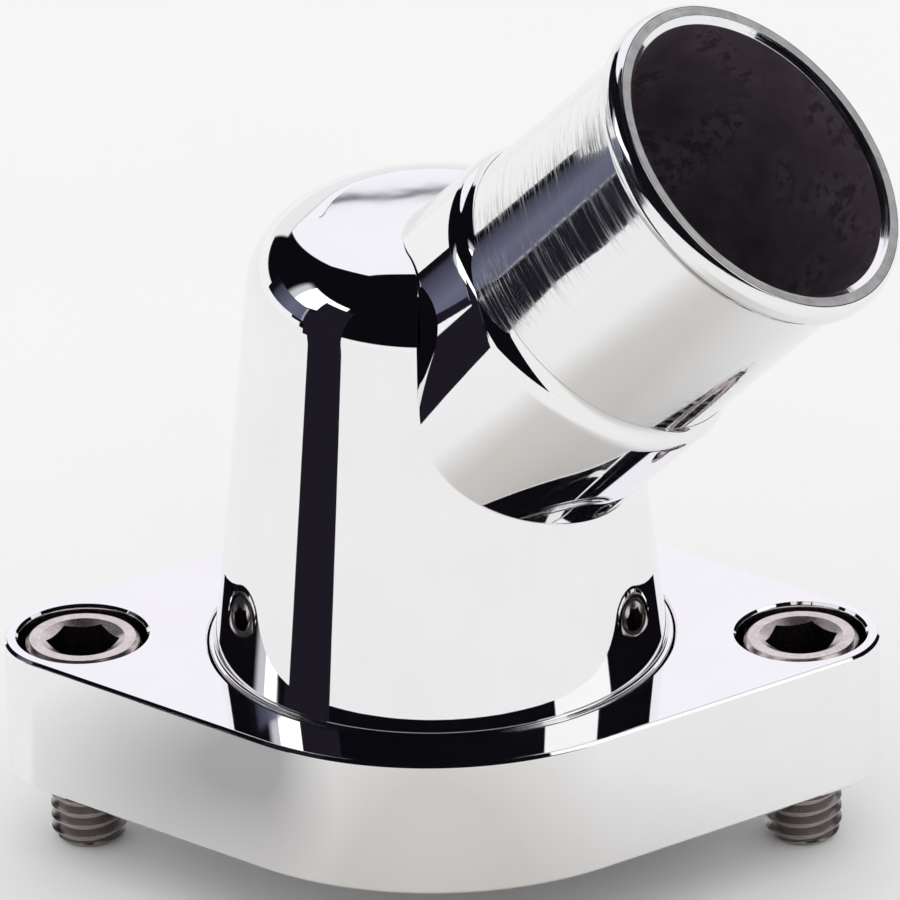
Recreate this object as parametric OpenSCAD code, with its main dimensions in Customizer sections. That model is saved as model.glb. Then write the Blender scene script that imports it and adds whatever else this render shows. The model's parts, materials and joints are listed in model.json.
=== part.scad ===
// Swivelling 45 degree coolant outlet: bolted flange, turning upright and hose tube.
// The origin is on the mounting face, at the swivel axis. +Z points away from the face.
// The bolts lie on X. Lengths are in mm.

/* [Flange] */
// distance between the two bolts
bolt_spacing = 88.9; // [80:0.1:110]
// flange thickness
flange_t = 17.8; // [16:0.1:26]
// radius of the rounded lobe at each bolt
lobe_r = 9.8; // [9.2:0.1:14]
// radius of the round middle part
waist_r = 36; // [35.4:0.1:42]
// chamfer along the outer edges
edge_chamfer = 0.4; // [0.2:0.05:1.2]

/* [Cap screws] */
// thread diameter
screw_d = 9.525; // [8:0.005:10]
// length under the head
screw_len = 18; // [16:0.05:30]
// head diameter
head_d = 14.29; // [13:0.01:15.4]
// head height
head_h = 9.525; // [8:0.005:10]
// hex socket, across flats
hex_af = 7.94; // [6:0.01:8.5]
// turn of the left screw's hex
hex_turn_left = 4; // [0:1:59]
// turn of the right screw's hex
hex_turn_right = 14; // [0:1:59]
// counterbore diameter
cbore_d = 16; // [15.8:0.1:17.4]
// depth of the head below the flange's face
head_sink = 0.45; // [0.2:0.05:2]

/* [Upright] */
// radius at the foot of the taper
foot_r = 27.95; // [26.5:0.05:28.2]
// slope of the taper, in mm per mm of height
taper = 0.108; // [0.04:0.002:0.14]
// height of the flat top
top_z = 74.9; // [68:0.1:90]
// rounding of the top edge
top_round = 10; // [4:0.5:12]

/* [Hose neck] */
// height where the neck's axis crosses the swivel axis
neck_z = 45.9; // [42:0.1:50]
// neck's angle above the mounting face
neck_tilt = 45; // [35:1:60]
// neck's turn about the swivel axis, from +X
neck_turn = -26; // [-180:1:180]
// boss radius
boss_r = 21.6; // [21.2:0.1:23]
// distance from the swivel axis to the boss's end
boss_end = 34.5; // [34:0.1:44]
// tube radius
tube_r = 20.4; // [19:0.1:20.8]
// radius of the tube's bore
tube_bore_r = 18.9; // [17:0.1:19]
// distance from the swivel axis to the tube's mouth
tube_end = 64.5; // [60:0.5:90]
// radius over the hose bead
bead_r = 21.9; // [21:0.1:22.6]

/* [Swivel joint] */
// spigot radius
spigot_r = 25.4; // [24.4:0.1:25.6]
// radial clearance of the spigot in the flange
run_gap = 0.05; // [0.02:0.01:0.1]
// spigot O-ring section
oring_d = 1.8; // [1.6:0.05:1.9]
// face O-ring section
face_oring_d = 2.7; // [2.4:0.1:3]

/* [Hidden] */
$fn = 96;
half = bolt_spacing / 2;
// directions of the flange's four straight sides
side_turn = acos((waist_r - lobe_r) / half);
side_len = half * sin(side_turn);
// the straight sides sit this much inside the arcs they join
join = 0.01;
cbore_floor = flange_t - head_sink - head_h;
bolt_hole_r = screw_d / 2 + 0.39;
// swivel bore, from the top: collar seat, spigot bore, ring recess
seat_r = 28.95;
seat_z = flange_t - 3.6;
web_z = 6.4;
recess_r = 28.8;
// face seal groove
seal_in = 30.4;
seal_out = 33.9;
seal_depth = 2.2;
// collar and spigot of the upright
collar_r = 28.7;
washer_t = 0.8;
collar_z = seat_z + washer_t;
spigot_z = 2.4;
inlet_r = 21;
core_r = 19.5;
groove_w = 2.5;
groove_r = spigot_r + run_gap - oring_d - 0.03;
upper_z = 12.25;
lower_z = 8.45;
ring_in = 24.2;
ring_out = 27.2;
ring_z = 3.75;
ring_t = 1.2;
backing_t = 1.25;
// taper and rounded top
foot_z = flange_t + 0.45;
slant = atan(taper);
round_z = top_z - top_round;
round_r = foot_r - taper * (round_z - foot_z) - top_round / cos(slant);
// neck
socket_from = 24;
socket_r = tube_r + 0.02;
boss_arc = 30.9;
boss_lip = 0.1;
// the boss sinks to the tube in two equal arcs, one outward and one inward
boss_drop = boss_r - tube_r - boss_lip;
boss_mid = (boss_arc + boss_end) / 2;
boss_round = (boss_drop * boss_drop + pow(boss_end - boss_arc, 2)) / (4 * boss_drop);
bead_arc = 1.9;
bead_land = 0.8;
bead_peak = tube_end - 2.4;

// solid disc with both edges chamfered
module chamfered_disc(r, h, c) {
  rotate_extrude()
    polygon([[0, 0], [r - c, 0], [r, c], [r, h - c], [r - c, h], [0, h]]);
}

// slab behind one straight side, between the lobe's and the middle's tangent points
module flank() {
  c = edge_chamfer;
  r = waist_r - join;
  rotate([0, 0, side_turn])
    rotate([90, 0, 0])
      linear_extrude(height = side_len)
        polygon([[0, 0], [r - c, 0], [r, c], [r, flange_t - c], [r - c, flange_t], [0, flange_t]]);
}

module flange_blank() {
  chamfered_disc(waist_r, flange_t, edge_chamfer);
  for (sx = [0, 1])
    mirror([sx, 0, 0]) {
      translate([half, 0, 0])
        chamfered_disc(lobe_r, flange_t, edge_chamfer);
      for (sy = [0, 1])
        mirror([0, sy, 0])
          flank();
    }
}

module flange() {
  color("silver")
    difference() {
      flange_blank();
      // swivel bore
      translate([0, 0, -1])
        cylinder(r = recess_r, h = web_z + 1);
      cylinder(r = spigot_r + run_gap, h = flange_t);
      translate([0, 0, seat_z])
        cylinder(r = seat_r, h = flange_t);
      translate([0, 0, flange_t - 0.3])
        cylinder(r1 = seat_r, r2 = seat_r + 0.4, h = 0.4);
      // face seal groove
      rotate_extrude()
        translate([seal_in, -1])
          square([seal_out - seal_in, seal_depth + 1]);
      // counterbored bolt holes
      for (sx = [-1, 1])
        translate([sx * half, 0, 0]) {
          translate([0, 0, -1])
            cylinder(r = bolt_hole_r, h = flange_t);
          translate([0, 0, cbore_floor])
            cylinder(d = cbore_d, h = flange_t);
          translate([0, 0, flange_t - 0.35])
            cylinder(r1 = cbore_d / 2, r2 = cbore_d / 2 + 0.45, h = 0.45);
        }
    }
}

// one screw, with its head's underside on the counterbore's floor
module cap_screw(turn) {
  tip = 1.2;
  socket = 4.8;
  r = screw_d / 2;
  neck = r - 0.3;
  reach = screw_len - cbore_floor;
  translate([0, 0, cbore_floor])
    difference() {
      union() {
        rotate_extrude()
          polygon([[0, 0], [head_d / 2, 0], [head_d / 2, head_h - 0.5], [head_d / 2 - 0.5, head_h], [0, head_h]]);
        // thread below the mounting face, and a neck a little under size above it
        translate([0, 0, -screw_len])
          rotate_extrude()
            polygon([[0, 0], [r - tip, 0], [r, tip], [r, reach], [neck, reach],
              [neck, screw_len + 1], [0, screw_len + 1]]);
      }
      translate([0, 0, head_h - socket])
        rotate([0, 0, turn])
          cylinder(r = hex_af / 2 / cos(30), h = socket + 1, $fn = 6);
      // lead-in of the socket, and the drill point at its bottom
      translate([0, 0, head_h - 0.65])
        cylinder(r1 = hex_af / 2 - 0.07, r2 = hex_af / 2 + 1.93, h = 1);
      translate([0, 0, head_h - socket - 1.4])
        cylinder(r1 = 0.3, r2 = hex_af / 2 - 0.3, h = 1.6);
    }
}

module cap_screws() {
  color("lightsteelblue") {
    translate([-half, 0, 0])
      cap_screw(hex_turn_left);
    translate([half, 0, 0])
      cap_screw(hex_turn_right);
  }
}

// ring of round section lying level
module oring(r, z, d) {
  translate([0, 0, z])
    rotate_extrude()
      translate([r, 0])
        circle(d = d, $fn = 32);
}

module face_oring() {
  color("black")
    oring((seal_in + seal_out) / 2, seal_depth - face_oring_d / 2 - 0.02, face_oring_d);
}

module upper_oring() {
  color("black")
    oring(groove_r + 0.02 + oring_d / 2, upper_z, oring_d);
}

module lower_oring() {
  color("black")
    oring(groove_r + 0.02 + oring_d / 2, lower_z, oring_d);
}

module flat_ring(r_in, r_out, z, t) {
  translate([0, 0, z])
    difference() {
      cylinder(r = r_out, h = t);
      translate([0, 0, -1])
        cylinder(r = r_in, h = t + 2);
    }
}

module thrust_washer() {
  color("ivory")
    flat_ring(spigot_r + 0.2, collar_r - 0.3, seat_z + 0.02, washer_t - 0.04);
}

module backing_washer() {
  color("slategray")
    flat_ring(spigot_r + 0.1, recess_r - 0.6, web_z - backing_t - 0.05, backing_t);
}

// snap ring, open at the back, with a plier hole in each ear
module retaining_ring() {
  ear_turn = 9;
  ear_r = 26.1;
  color("dimgray")
    translate([0, 0, ring_z])
      difference() {
        union() {
          difference() {
            cylinder(r = ring_out, h = ring_t);
            translate([0, 0, -1])
              cylinder(r = ring_in + 0.05, h = ring_t + 2);
            translate([0, 0, -1])
              linear_extrude(height = ring_t + 2)
                polygon([[0, 0], [-40 * sin(ear_turn - 3), 40], [40 * sin(ear_turn - 3), 40]]);
          }
          for (s = [-1, 1])
            rotate([0, 0, 90 + s * ear_turn])
              translate([ear_r, 0, 0])
                cylinder(r = 2.2, h = ring_t);
        }
        for (s = [-1, 1])
          rotate([0, 0, 90 + s * ear_turn])
            translate([ear_r, 0, -1])
              cylinder(r = 0.9, h = ring_t + 2);
        // the ears clear the groove's floor
        translate([0, 0, -1])
          cylinder(r = ring_in + 0.05, h = ring_t + 2);
      }
}

// places a piece on the neck's axis, with +Z along it
module along_neck() {
  translate([0, 0, neck_z])
    rotate([0, 90 - neck_tilt, neck_turn])
      children();
}

// turned outside of the upright: spigot, collar, taper and rounded top
module upright_profile() {
  tangent_r = round_r + (top_round - 0.005) * cos(slant);
  tangent_z = round_z + (top_round - 0.005) * sin(slant);
  polygon([[0, spigot_z], [spigot_r - 0.6, spigot_z], [spigot_r, spigot_z + 0.6],
    [spigot_r, collar_z], [collar_r, collar_z], [collar_r, flange_t - 0.1], [collar_r - 0.2, flange_t + 0.1],
    [foot_r, foot_z], [tangent_r, tangent_z], [round_r, round_z], [round_r, top_z], [0, top_z]]);
  translate([round_r, round_z])
    intersection() {
      circle(r = top_round);
      translate([0, -1])
        square([top_round + 1, top_round + 2]);
    }
}

// end of the boss, rounded down and then filleted into the tube
module boss() {
  rotate_extrude() {
    square([boss_r, boss_arc]);
    // the two arcs cross a little past the middle, instead of only touching there
    intersection() {
      square([boss_r, boss_mid + 0.6]);
      translate([boss_r - boss_round, boss_arc])
        circle(r = boss_round);
    }
    difference() {
      square([boss_r - boss_drop / 2, boss_end]);
      translate([boss_r - boss_drop + boss_round, boss_end])
        circle(r = boss_round + join);
    }
  }
}

module groove(z, w, r) {
  translate([0, 0, z - w / 2])
    difference() {
      cylinder(r = spigot_r + 2, h = w);
      translate([0, 0, -1])
        cylinder(r = r, h = w + 2);
    }
}

module swivel_body() {
  color("gainsboro")
    difference() {
      union() {
        rotate_extrude()
          upright_profile();
        along_neck()
          boss();
      }
      // passage up from the inlet
      translate([0, 0, -1])
        cylinder(r = inlet_r, h = 21);
      translate([0, 0, 19.99])
        cylinder(r1 = inlet_r, r2 = core_r, h = 4);
      translate([0, 0, 20])
        cylinder(r = core_r, h = neck_z - 20);
      translate([0, 0, neck_z])
        sphere(r = core_r + 0.1);
      // passage out along the neck, and the tube's socket
      along_neck()
        cylinder(r = tube_bore_r, h = boss_end + 5);
      along_neck()
        translate([0, 0, socket_from])
          cylinder(r = socket_r, h = boss_end);
      // seal and snap ring grooves
      groove(upper_z, groove_w, groove_r);
      groove(lower_z, groove_w, groove_r);
      groove(ring_z + ring_t / 2, ring_t + 0.1, ring_in);
    }
}

// half of the bead, on one side of a level
module bead_half(level, low, high) {
  intersection() {
    translate([tube_r - 0.5, low])
      square([5, high - low]);
    translate([bead_r - bead_arc, level])
      circle(r = bead_arc);
  }
}

module tube_profile() {
  // straight tube
  translate([tube_bore_r, socket_from + 0.05])
    square([tube_r - tube_bore_r, tube_end - 0.6 - socket_from - 0.05]);
  // round bead with a short land, cut square at the mouth
  bead_half(bead_peak, bead_peak - bead_arc, bead_peak);
  bead_half(bead_peak + bead_land, bead_peak + bead_land, tube_end);
  translate([tube_bore_r, bead_peak - join])
    square([bead_r - tube_bore_r, bead_land + 2 * join]);
  // mouth, chamfered inside
  polygon([[tube_bore_r, tube_end - 0.61], [tube_r, tube_end - 0.61], [tube_r, tube_end],
    [tube_bore_r + 0.6, tube_end], [tube_bore_r, tube_end - 0.6]]);
}

module hose_tube() {
  color("lightgray")
    along_neck()
      rotate_extrude()
        tube_profile();
}

flange();
cap_screws();
face_oring();
thrust_washer();
swivel_body();
hose_tube();
upper_oring();
lower_oring();
backing_washer();
retaining_ring();
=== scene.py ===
import json
import math
from itertools import product

import bpy
from mathutils import Matrix, Vector
from mathutils.geometry import tessellate_polygon


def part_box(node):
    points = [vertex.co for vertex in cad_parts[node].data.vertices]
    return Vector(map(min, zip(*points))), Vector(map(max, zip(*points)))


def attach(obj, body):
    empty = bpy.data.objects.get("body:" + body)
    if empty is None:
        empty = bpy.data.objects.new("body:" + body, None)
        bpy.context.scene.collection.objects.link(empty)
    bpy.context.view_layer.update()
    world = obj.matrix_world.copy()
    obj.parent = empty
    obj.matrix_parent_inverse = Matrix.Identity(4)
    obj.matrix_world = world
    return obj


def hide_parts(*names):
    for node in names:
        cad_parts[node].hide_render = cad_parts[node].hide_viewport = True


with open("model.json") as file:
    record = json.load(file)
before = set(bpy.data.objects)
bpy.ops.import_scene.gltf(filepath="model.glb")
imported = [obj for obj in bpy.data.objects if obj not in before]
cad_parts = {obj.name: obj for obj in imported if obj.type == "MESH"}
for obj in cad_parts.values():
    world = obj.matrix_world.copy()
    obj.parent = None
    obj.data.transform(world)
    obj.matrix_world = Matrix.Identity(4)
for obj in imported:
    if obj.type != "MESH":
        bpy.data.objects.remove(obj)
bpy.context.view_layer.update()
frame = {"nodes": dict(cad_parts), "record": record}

MM = 0.001
COLUMNS = 360      # vertices round each large turned surface
WELD = 0.002       # corners nearer than a quarter of this are one vertex

# ---------------------------------------------------------------- sizes from the CAD frame
mounts = {m["name"]: m for m in frame["record"]["mounts"]}
HALF = mounts["bolts"]["dims"]["pcd_mm"] / 2
NECK_AXIS = Vector(mounts["hose_end"]["axis"]).normalized()
BEAD_R = mounts["hose_end"]["dims"]["r_mm"]
flange_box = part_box("flange")
FLANGE_T = (flange_box[1][2] - flange_box[0][2]) / MM
WAIST_R = flange_box[1][1] / MM
LOBE_R = flange_box[1][0] / MM - HALF
screw_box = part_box("cap_screws")
SCREW_TIP = screw_box[0][2] / MM
SCREW_TOP = screw_box[1][2] / MM
HEAD_R = screw_box[1][0] / MM - HALF
NECK_TURN = math.atan2(NECK_AXIS.y, NECK_AXIS.x)
NECK_TILT = math.asin(NECK_AXIS.z)
bead = Vector(mounts["hose_end"]["pos_m"]) / MM
BEAD_L = math.hypot(bead.x, bead.y) / math.cos(NECK_TILT)
NECK_Z = bead.z - BEAD_L * math.sin(NECK_TILT)
TUBE_END = BEAD_L + 2.0    # the mouth is this far past the middle of the bead


# ---------------------------------------------------------------- profiles
# A profile is a list of pieces, and a piece is a list of samples (r, z, normal r, normal z).
# It runs with the solid on its left, so the normals point out of the solid.
def line(a, b, steps=1):
    dr, dz = b[0] - a[0], b[1] - a[1]
    size = math.hypot(dr, dz)
    n = (dz / size, -dr / size)
    return [(a[0] + dr * i / steps, a[1] + dz * i / steps, n[0], n[1]) for i in range(steps + 1)]


def arc(centre, radius, start, stop, steps):
    side = 1 if stop > start else -1
    piece = []
    for i in range(steps + 1):
        a = start + (stop - start) * i / steps
        c, s = math.cos(a), math.sin(a)
        piece.append((centre[0] + radius * c, centre[1] + radius * s, side * c, side * s))
    return piece


def profile(corners, steps=4):
    """Lines through the corners (r, z, rounding). The first and last corners aren't rounded."""
    pieces = []
    at = corners[0][:2]
    for k in range(1, len(corners)):
        corner = corners[k]
        radius = corner[2] if len(corner) > 2 and k < len(corners) - 1 else 0
        if radius == 0:
            pieces.append(line(at, corner[:2]))
            at = corner[:2]
            continue
        before = Vector(corner[:2]) - Vector(at)
        after = Vector(corners[k + 1][:2]) - Vector(corner[:2])
        u, v = before.normalized(), after.normalized()
        turn = math.atan2(u.x * v.y - u.y * v.x, u.dot(v))
        back = radius * math.tan(abs(turn) / 2)
        start = Vector(corner[:2]) - u * back
        side = 1 if turn > 0 else -1
        centre = start + Vector((-u.y, u.x)) * side * radius
        first = math.atan2(start.y - centre.y, start.x - centre.x)
        if (Vector(at) - start).length > 1e-6:
            pieces.append(line(at, tuple(start)))
        pieces.append(arc(centre, radius, first, first + turn, steps))
        at = tuple(Vector(corner[:2]) + v * back)
    return pieces


# ---------------------------------------------------------------- meshes with exact normals
class Shell:
    """Collects faces with a normal at each corner, and welds them into one closed mesh."""

    def __init__(self):
        self.faces = []

    def add(self, points, normals, tag):
        self.faces.append((points, normals, tag))

    def rows(self, rows, tag=0):
        """Quads between neighbouring closed rings. A ring is a list of (point, normal)."""
        for low, high in zip(rows, rows[1:]):
            count = len(low)
            for j in range(count):
                k = (j + 1) % count
                corners = (low[j], low[k], high[k], high[j])
                self.add([c[0] for c in corners], [c[1] for c in corners], tag)

    def turned(self, pieces, angles, place=Matrix(), tag=0):
        """Turns a profile about Z, with a vertex at each angle."""
        spin = place.to_3x3()
        for piece in pieces:
            rings = []
            for r, z, nr, nz in piece:
                rings.append([(place @ Vector((r * math.cos(a), r * math.sin(a), z)),
                               spin @ Vector((nr * math.cos(a), nr * math.sin(a), nz))) for a in angles])
            self.rows(rings, tag)

    def flat(self, loops, up, tag=0):
        """A level face inside the first loop, less the other loops."""
        normal = Vector((0, 0, 1 if up else -1))
        corners = [p for loop in loops for p in loop]
        for triangle in tessellate_polygon([[Vector((p.x, p.y, 0)) for p in loop] for loop in loops]):
            points = [corners[i] for i in triangle]
            if (points[1] - points[0]).cross(points[2] - points[0]).dot(normal) < 0:
                points.reverse()
            self.add(points, [normal] * 3, tag)

    def build(self, name, materials):
        index = {}
        places, polygons, normals, tags = [], [], [], []
        for points, corner_normals, tag in self.faces:
            ids, kept = [], []
            for p, n in zip(points, corner_normals):
                key = tuple(round(c / WELD) for c in p)
                if key not in index:
                    # known in each cell that a point within a quarter of WELD can fall in
                    for cell in product(*((round(c / WELD - 0.25), round(c / WELD + 0.25)) for c in p)):
                        index.setdefault(cell, len(places))
                    places.append(p * MM)
                if index[key] not in ids:
                    ids.append(index[key])
                    kept.append(n)
            if len(ids) > 2:
                polygons.append(ids)
                normals.extend(kept)
                tags.append(tag)
        mesh = bpy.data.meshes.new(name)
        mesh.from_pydata(places, [], polygons)
        for material in materials:
            mesh.materials.append(material)
        mesh.polygons.foreach_set("material_index", tags)
        mesh.normals_split_custom_set([n.normalized() for n in normals])
        mesh.update()
        piece = bpy.data.objects.new(name, mesh)
        bpy.context.scene.collection.objects.link(piece)
        return piece


def even(count, start=0.0):
    return [start + 2 * math.pi * i / count for i in range(count)]


# ---------------------------------------------------------------- materials
MIX_UNDER, MIX_OVER, MIX_RESULT = 6, 7, 2     # the colour sockets of a mix node


class Graph:
    """Short ways to add nodes to a node tree."""

    def __init__(self, tree):
        self.nodes = tree.nodes
        self.links = tree.links

    def feed(self, socket, value):
        """Gives an input socket a value, or the output of another node."""
        if isinstance(value, bpy.types.NodeSocket):
            self.links.new(value, socket)
        else:
            socket.default_value = value

    def node(self, kind, *inputs, **settings):
        """A new node with its first inputs filled. Returns its first output."""
        made = self.nodes.new(kind)
        for key, value in settings.items():
            setattr(made, key, value)
        for key, value in enumerate(inputs):
            self.feed(made.inputs[key], value)
        return made.outputs[0]

    def math(self, operation, *inputs):
        return self.node("ShaderNodeMath", *inputs, operation=operation)

    def mix(self, factor, under, over):
        """Blends two colours, each a node's output or three numbers."""
        made = self.nodes.new("ShaderNodeMix")
        made.data_type = "RGBA"
        self.feed(made.inputs["Factor"], factor)
        for key, value in ((MIX_UNDER, under), (MIX_OVER, over)):
            self.feed(made.inputs[key], (*value, 1) if isinstance(value, tuple) else value)
        return made.outputs[MIX_RESULT]

    def split(self, vector):
        """The x, y and z of a vector."""
        return self.node("ShaderNodeSeparateXYZ", vector).node.outputs


class Paint(Graph):
    """A new Principled material, and short ways to add nodes to it. Lengths in it are in metres."""

    def __init__(self, name, color, metallic=1.0, roughness=0.1):
        self.material = bpy.data.materials.new(name)
        self.material.use_nodes = True
        super().__init__(self.material.node_tree)
        self.shader = self.nodes["Principled BSDF"]
        self.set("Base Color", (*color, 1))
        self.set("Metallic", metallic)
        self.set("Roughness", roughness)
        self.coords = self.nodes.new("ShaderNodeTexCoord").outputs["Object"]

    def set(self, socket, value):
        """Gives a shader socket a value, or the output of another node."""
        self.feed(self.shader.inputs[socket], value)

    def noise(self, where, size, detail=2.0, rough=0.5, contrast=1.0):
        """Noise from 0 to 1 with features of the given size, at a place given in metres."""
        made = self.nodes.new("ShaderNodeTexNoise")
        for key, value in (("Vector", where), ("Scale", 1 / size), ("Detail", detail), ("Roughness", rough)):
            self.feed(made.inputs[key], value)
        return self.remap(made.outputs["Fac"], 0.5 - 0.5 / contrast, 0.5 + 0.5 / contrast, 0, 1)

    def remap(self, value, low, high, to_low, to_high):
        return self.node("ShaderNodeMapRange", value, low, high, to_low, to_high)

    def shades(self, value, *stops):
        """A colour ramp through (position, colour) stops."""
        made = self.nodes.new("ShaderNodeValToRGB")
        self.links.new(value, made.inputs["Fac"])
        while len(made.color_ramp.elements) < len(stops):
            made.color_ramp.elements.new(0.5)
        for element, (position, color) in zip(made.color_ramp.elements, stops):
            element.position = position
            element.color = (*color, 1)
        return made.outputs["Color"]

    def in_frame(self, matrix):
        """The place (x, y, z) in a frame that is given in millimetres."""
        turn = matrix.to_3x3().inverted().to_euler()
        origin = matrix.to_translation() * MM
        shifted = self.node("ShaderNodeVectorMath", self.coords, tuple(-origin), operation="ADD")
        local = self.node("ShaderNodeVectorRotate", shifted, rotation_type="EULER_XYZ")
        local.node.inputs["Rotation"].default_value = turn
        return self.split(local)

    def turned_lines(self, place, spacing, length, detail=2, rough=0.5):
        """Fine lines round the Z axis of a frame: noise that is short along the axis and long round it."""
        x, y, z = place
        stretch = spacing / length
        where = self.node("ShaderNodeCombineXYZ", self.math("MULTIPLY", x, stretch),
                          self.math("MULTIPLY", y, stretch), z)
        return self.noise(where, spacing, detail, rough)

    def facing_lines(self, place, level, spacing, detail, rough):
        """Circles on a face that was turned about the Z axis of a frame."""
        x, y, z = place
        out = self.math("SQRT", self.math("ADD", self.math("MULTIPLY", x, x), self.math("MULTIPLY", y, y)))
        round_it = self.math("MULTIPLY", self.math("ARCTAN2", y, x), 0.1 * MM)
        return self.noise(self.node("ShaderNodeCombineXYZ", out, round_it, level), spacing, detail, rough)

    def bump(self, height, depth, after=None):
        """Roughens the surface, over an earlier bump if one is given. Returns the new normal."""
        made = self.nodes.new("ShaderNodeBump")
        self.feed(made.inputs["Distance"], depth)
        self.feed(made.inputs["Height"], height)
        if after is not None:
            self.feed(made.inputs["Normal"], after)
        self.set("Normal", made.outputs["Normal"])
        return made.outputs["Normal"]


# The neck's own frame has +Z along the neck, +X down towards the crotch and +Y level. The upright is built
# with its neck over +X, and then turned into place.
NECK_C, NECK_S = math.cos(NECK_TILT), math.sin(NECK_TILT)
NECK_FRAME = Matrix(((NECK_S, 0, NECK_C, 0), (0, 1, 0, 0), (-NECK_C, 0, NECK_S, NECK_Z), (0, 0, 0, 1)))
INTO_PLACE = Matrix.Rotation(NECK_TURN, 4, "Z")
UPRIGHT_FRAME = Matrix()
TUBE_FRAME = INTO_PLACE @ NECK_FRAME


def polished_aluminium(name, axis, roughness, wave):
    """Buffed to a mirror: faint lines round the axis, soft ripples and a slight uneven haze."""
    paint = Paint(name, (0.92, 0.915, 0.92))
    lines = paint.turned_lines(paint.in_frame(axis), 0.25 * MM, 9 * MM, 3, 0.6)
    haze = paint.noise(paint.coords, 11 * MM, 4, 0.6, 1.6)
    paint.set("Roughness", paint.math("ADD", paint.remap(haze, 0, 1, roughness * 0.6, roughness * 1.5),
                                      paint.remap(lines, 0.6, 1, 0, 0.03)))
    tone = paint.shades(haze, (0.0, (0.90, 0.893, 0.895)), (1.0, (0.935, 0.932, 0.94)))
    paint.set("Base Color", tone)
    ripple = paint.bump(paint.noise(paint.coords, 7 * MM, 1, 0.4), wave)
    paint.bump(lines, 0.0004 * MM, ripple)
    return paint.material


def brushed_tube():
    """Turned on a lathe and buffed lightly: a mirror with fine scratches that still run round the tube."""
    paint = Paint("brushed_tube", (0.9, 0.9, 0.905))
    place = paint.in_frame(TUBE_FRAME)
    fine = paint.turned_lines(place, 0.22 * MM, 11 * MM, 3, 0.6)
    coarse = paint.turned_lines(place, 1.6 * MM, 16 * MM)
    scratch = paint.turned_lines(place, 0.14 * MM, 5 * MM)
    dull = paint.remap(paint.math("ADD", fine, paint.math("MULTIPLY", coarse, 0.35)), 0.64, 0.86, 0, 1)
    paint.set("Roughness", paint.math("ADD", paint.remap(dull, 0, 1, 0.04, 0.19),
                                      paint.remap(scratch, 0.60, 0.70, 0, 0.08)))
    paint.set("Anisotropic", 0.7)
    paint.set("Tangent", paint.node("ShaderNodeTangent", direction_type="RADIAL", axis="Z"))
    waved = paint.bump(paint.noise(paint.coords, 4 * MM, 2, 0.5), 0.012 * MM)
    lined = paint.bump(fine, 0.0006 * MM, waved)
    paint.bump(paint.remap(scratch, 0.62, 0.74, 0, 1), 0.0016 * MM, lined)
    return paint.material


def brushed_face():
    """The bead's end face: turned, not polished."""
    paint = Paint("brushed_face", (0.75, 0.745, 0.75), metallic=0.62, roughness=0.3)
    lines = paint.facing_lines(paint.in_frame(TUBE_FRAME), 0.0, 0.12 * MM, 4, 0.7)
    blotch = paint.noise(paint.coords, 2.2 * MM, 4, 0.6, 1.5)
    paint.set("Roughness", paint.remap(lines, 0.3, 0.7, 0.28, 0.55))
    paint.set("Base Color", paint.shades(paint.math("MULTIPLY", lines, blotch), (0.0, (0.5, 0.49, 0.5)),
                                         (0.45, (0.9, 0.89, 0.895))))
    paint.bump(lines, 0.006 * MM)
    return paint.material


def bore_painted_shade():
    """Inside of the tube: left as drawn and dull. Its very dark colour is painted shade inside the bore,
    varied by stains and specks.
    """
    paint = Paint("bore_painted_shade", (0.1, 0.09, 0.1), roughness=0.5)
    stain = paint.noise(paint.coords, 9 * MM, 3, 0.5, 1.4)
    grit = paint.remap(paint.noise(paint.coords, 1.5 * MM, 3, 0.6), 0.50, 0.56, 0, 1)
    gritty = paint.remap(paint.noise(paint.coords, 9 * MM, 2, 0.5, 1.4), 0.48, 0.60, 0, 1)
    specks = paint.math("MULTIPLY", grit, gritty)
    lines = paint.turned_lines(paint.in_frame(TUBE_FRAME), 0.3 * MM, 20 * MM, 3, 0.6)
    # very dark colour ramp: painted shade inside the bore, with stains and specks varying it
    paint.set("Base Color", paint.shades(paint.math("MULTIPLY", stain, paint.remap(specks, 0, 1, 1, 0.35)),
                                         (0.0, (0.05, 0.037, 0.054)), (0.5, (0.15, 0.118, 0.15)),
                                         (1.0, (0.24, 0.20, 0.23))))
    paint.set("Metallic", 0.6)
    paint.set("Roughness", paint.remap(stain, 0, 1, 0.62, 0.42))
    paint.bump(paint.math("ADD", stain, lines), 0.02 * MM)
    return paint.material


def screw_steel(name, light):
    """Alloy steel with a fine dull grain and a warm tint, darker where light is below 1: that darkening is
    painted shade.
    """
    paint = Paint(name, (0.4, 0.37, 0.34), roughness=0.35)
    stops = [(at, [light * c for c in tint]) for at, tint in (
        (0.15, (0.52, 0.45, 0.43)), (0.5, (0.68, 0.61, 0.595)), (0.85, (0.84, 0.78, 0.765)))]
    grain = paint.noise(paint.coords, 0.35 * MM, 5, 0.7, 1.5)
    patch = paint.noise(paint.coords, 2.5 * MM, 4, 0.6, 1.6)
    blend = paint.math("ADD", paint.math("MULTIPLY", grain, 0.55), paint.math("MULTIPLY", patch, 0.45))
    paint.set("Base Color", paint.shades(blend, *stops))
    paint.set("Roughness", paint.remap(grain, 0, 1, 0.16, 0.30))
    paint.bump(grain, 0.007 * MM)
    return paint.material


def socket_painted_shade():
    """The broached socket: its near-black colour is painted shade in the deep recess, with a fine lighter
    grain.
    """
    paint = Paint("socket_painted_shade", (0.06, 0.05, 0.05), roughness=0.4)
    grain = paint.noise(paint.coords, 0.4 * MM, 4, 0.65, 1.4)
    # near-black colour: painted shade inside the socket
    paint.set("Base Color", paint.shades(grain, (0.2, (0.03, 0.024, 0.024)), (0.9, (0.13, 0.105, 0.10))))
    paint.set("Roughness", paint.remap(grain, 0, 1, 0.3, 0.5))
    paint.bump(grain, 0.01 * MM)
    return paint.material


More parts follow.
